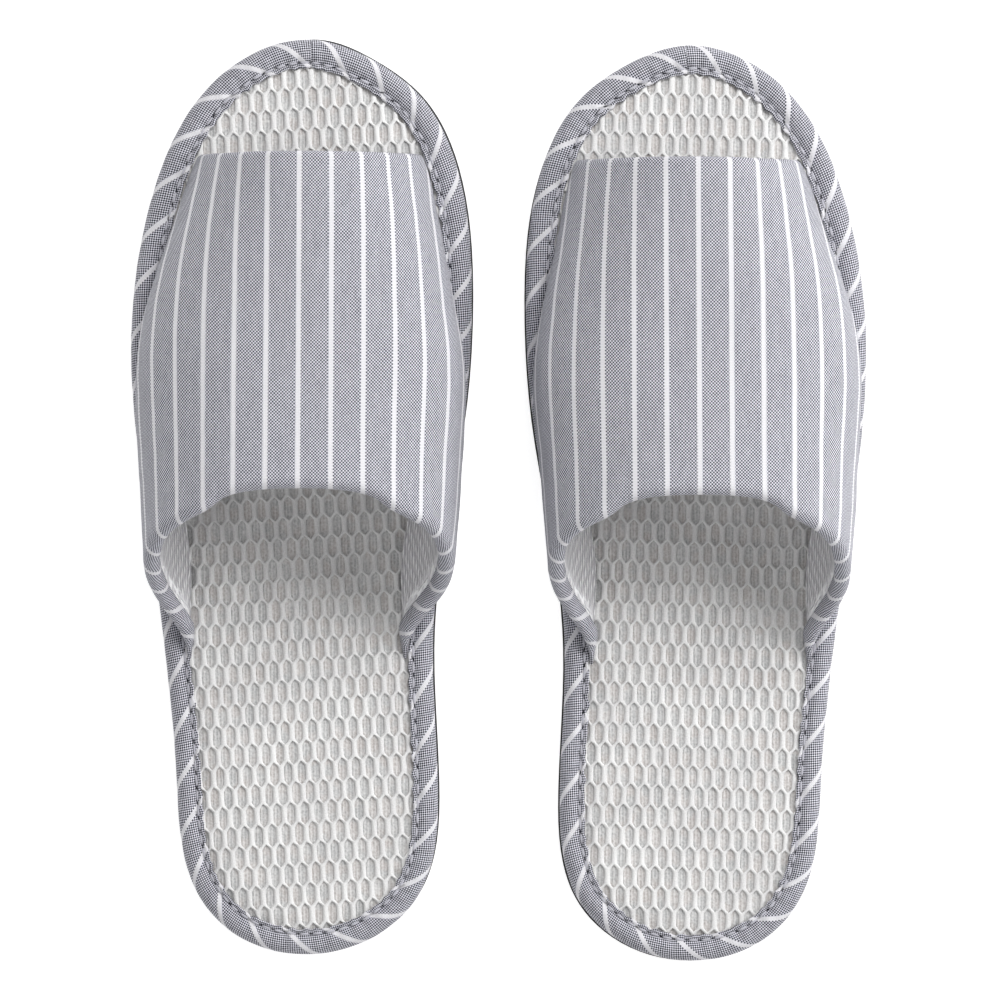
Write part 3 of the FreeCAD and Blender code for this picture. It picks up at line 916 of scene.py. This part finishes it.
def make_net(sole, material):
    """Spacer mesh: long hexagonal holes between rounded strands."""
    columns = 2 * math.ceil(2 * REACH / HEX_ACROSS + NET_SPARE[0])
    rows = math.ceil(2 * NET_HALF_LENGTH / HEX_ALONG + NET_SPARE[1])
    half = HEX_ACROSS / 2
    bm = bmesh.new()
    bmesh.ops.create_grid(bm, x_segments=columns, y_segments=rows, size=0.5)
    seats = {}
    for vert in bm.verts:
        seats[vert] = (round((vert.co.x + 0.5) * columns), round((vert.co.y + 0.5) * rows))
    spare = []
    for edge in bm.edges:
        (i, j), (k, m) = seats[edge.verts[0]], seats[edge.verts[1]]
        if i == k and (i + min(j, m)) % 2 and 0 < i < columns:
            spare.append(edge)
    point = HEX_ALONG * NET_POINT
    for vert, (i, j) in seats.items():
        zigzag = point if (i + j) % 2 == 0 else -point
        vert.co = Vector(((i - columns / 2) * half, (j - rows / 2) * HEX_ALONG + zigzag, 0))
    bmesh.ops.dissolve_edges(bm, edges=spare, use_verts=False)
    bmesh.ops.rotate(bm, verts=bm.verts, cent=(0, 0, 0),
                     matrix=Matrix.Rotation(math.radians(NET_TURN[sole.side] * sole.hand), 3, "Z"))

    centres = np.array([face.calc_center_median()[:2] for face in bm.faces])
    outside = sole.depth(centres) < CELL_EDGE
    stray = [face for face, out in zip(list(bm.faces), outside) if out]
    bmesh.ops.delete(bm, geom=stray, context="FACES")

    bmesh.ops.subdivide_edges(bm, edges=bm.edges, cuts=1)
    cells = list(bm.faces)
    rings = []
    for inset, drop in NET_RINGS:
        bmesh.ops.inset_individual(bm, faces=cells, thickness=inset, use_even_offset=True)
        rings.append(({vert for cell in cells for vert in cell.verts}, drop))
        if drop < NET_SHAPED:
            for cell in cells:
                shape_hole(cell)
    bmesh.ops.delete(bm, geom=cells, context="FACES_ONLY")
    flat = sole.kept_in(np.array([vert.co[:2] for vert in bm.verts]), NET_EDGE)
    drops = {vert: drop for ring, drop in rings for vert in ring}
    for vert, place, top in zip(bm.verts, flat, insole_height(sole, flat)):
        uneven = noise.noise(vert.co * NET_UNEVEN[0]) * NET_UNEVEN[1]
        vert.co = Vector((place[0], place[1], top + uneven - drops.get(vert, 0.0)))
    bmesh.ops.recalc_face_normals(bm, faces=bm.faces)
    flat_face = max(bm.faces, key=lambda face: abs(face.normal.z))
    if flat_face.normal.z < 0:
        bmesh.ops.reverse_faces(bm, faces=bm.faces)
    net = finish_piece(sole, sole.side + "_insole_net", bm, material, "spacer_mesh")


def make_base_cloth(sole, material):
    """Knit under the net, which shows in its holes."""
    table = np.zeros((BASE_AROUND + 1, BASE_RINGS, 3))
    for column in range(BASE_AROUND + 1):
        for ring in range(BASE_RINGS):
            inset = mix(*BASE_REACH, ring / (BASE_RINGS - 1))
            table[column, ring, :2] = sole.rim(column / BASE_AROUND, inset)
    bm = bent_grid(table, {}, closed=True)
    inner = [edge for edge in bm.edges if edge.is_boundary
             and sole.depth(np.array([edge.verts[0].co[:2]]))[0] > mix(*BASE_REACH, 0.5)]
    bmesh.ops.contextual_create(bm, geom=inner)
    bmesh.ops.recalc_face_normals(bm, faces=bm.faces)
    flat = np.array([vert.co[:2] for vert in bm.verts])
    for vert, top in zip(bm.verts, insole_height(sole, flat)):
        vert.co.z = top - BASE_DROP
    if max(bm.faces, key=lambda face: face.calc_area()).normal.z < 0:
        bmesh.ops.reverse_faces(bm, faces=bm.faces)
    cloth = finish_piece(sole, sole.side + "_insole_knit", bm, material,
                         "insole_base_cloth")


# ---------------------------------------------------------------- everything
finishes = {
    "cloth": upper_cloth(), "tape": bias_tape(), "thread": thread(), "net": net_knit(),
    "base": base_knit(), "lining": lining_knit(), "rubber": outsole_rubber(),
    "wadding": inner_layer("upper_wadding", paint(214, 214, 212), paint(240, 240, 238), 0.8),
    "foam": inner_layer("cushion_foam", paint(206, 203, 192), paint(232, 229, 220), 2.5),
    "board": inner_layer("insole_fibreboard", paint(150, 130, 100), paint(186, 166, 132), 1.1),
}

for side in SIDES:
    sole = Sole(side)
    make_tape(sole, finishes["tape"])
    make_stitches(sole, finishes["thread"])
    make_net(sole, finishes["net"])
    make_base_cloth(sole, finishes["base"])
    make_upper(sole, finishes["cloth"], finishes["lining"], finishes["wadding"])
    for node, finish in (("outsole", "rubber"), ("foam_cushion", "foam"), ("insole_board", "board"),
                         ("bobbin_thread", "thread")):
        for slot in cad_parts[side + "_" + node].material_slots:
            slot.material = finishes[finish]


# ---------------------------------------------------------------- stage, light and camera
FLOOR_SIZE = 3.0                 # metres, from here on
FLOOR_HEIGHT = -0.0002
FLOOR_GLOW = 0.85
SKY_GLOW = 0.31
FRAME_WIDTH = 0.2954             # of the view, at PLANE_HEIGHT over the floor
CAMERA_HEIGHT = 3.0
PLANE_HEIGHT = 0.01
CAMERA_RIGHT = 0.00035


def make_floor():
    """A plain white floor."""
    bm = bmesh.new()
    bmesh.ops.create_grid(bm, x_segments=1, y_segments=1, size=FLOOR_SIZE)
    for vert in bm.verts:
        vert.co.z = FLOOR_HEIGHT
    mesh = bpy.data.meshes.new("floor")
    bm.to_mesh(mesh)
    bm.free()
    floor = bpy.data.objects.new("floor", mesh)
    bpy.context.scene.collection.objects.link(floor)
    finish = Finish("pale_floor", 0.9)
    finish.shader.inputs["Base Color"].default_value = (0.5, 0.5, 0.5, 1)
    finish.shader.inputs["Emission Color"].default_value = (1, 1, 1, 1)
    finish.shader.inputs["Emission Strength"].default_value = FLOOR_GLOW
    mesh.materials.append(finish.material)


def add_light(name, place, power, width, aim=(0, 0, 0)):
    data = bpy.data.lights.new(name, "AREA")
    data.shape = "DISK"
    data.size = width
    data.energy = power
    lamp = bpy.data.objects.new(name, data)
    lamp.location = place
    lamp.rotation_euler = (Vector(aim) - Vector(place)).to_track_quat("-Z", "Y").to_euler()
    bpy.context.scene.collection.objects.link(lamp)


make_floor()
add_light("toe_softbox", (0.5, 1.2, 1.5), 24.5, 1.1)
add_light("overhead_softbox", (0.1, -0.3, 1.9), 3, 1.2)
add_light("right_softbox", (1.5, 0.1, 0.8), 14, 0.8)
add_light("heel_fill", (-0.9, -1.2, 0.8), 3, 0.8)

world = bpy.data.worlds.new("studio")
bpy.context.scene.world = world
world.use_nodes = True
world.node_tree.nodes["Background"].inputs["Color"].default_value = (1, 1, 1, 1)
world.node_tree.nodes["Background"].inputs["Strength"].default_value = SKY_GLOW
bpy.context.scene.view_settings.view_transform = "Standard"

camera = bpy.data.objects.new("camera", bpy.data.cameras.new("camera"))
camera.location = (CAMERA_RIGHT, 0, CAMERA_HEIGHT)
camera.data.sensor_width = 36
camera.data.lens = camera.data.sensor_width * (CAMERA_HEIGHT - PLANE_HEIGHT) / FRAME_WIDTH
camera.data.clip_start = 0.1
camera.data.clip_end = 20
bpy.context.scene.collection.objects.link(camera)
bpy.context.scene.camera = camera
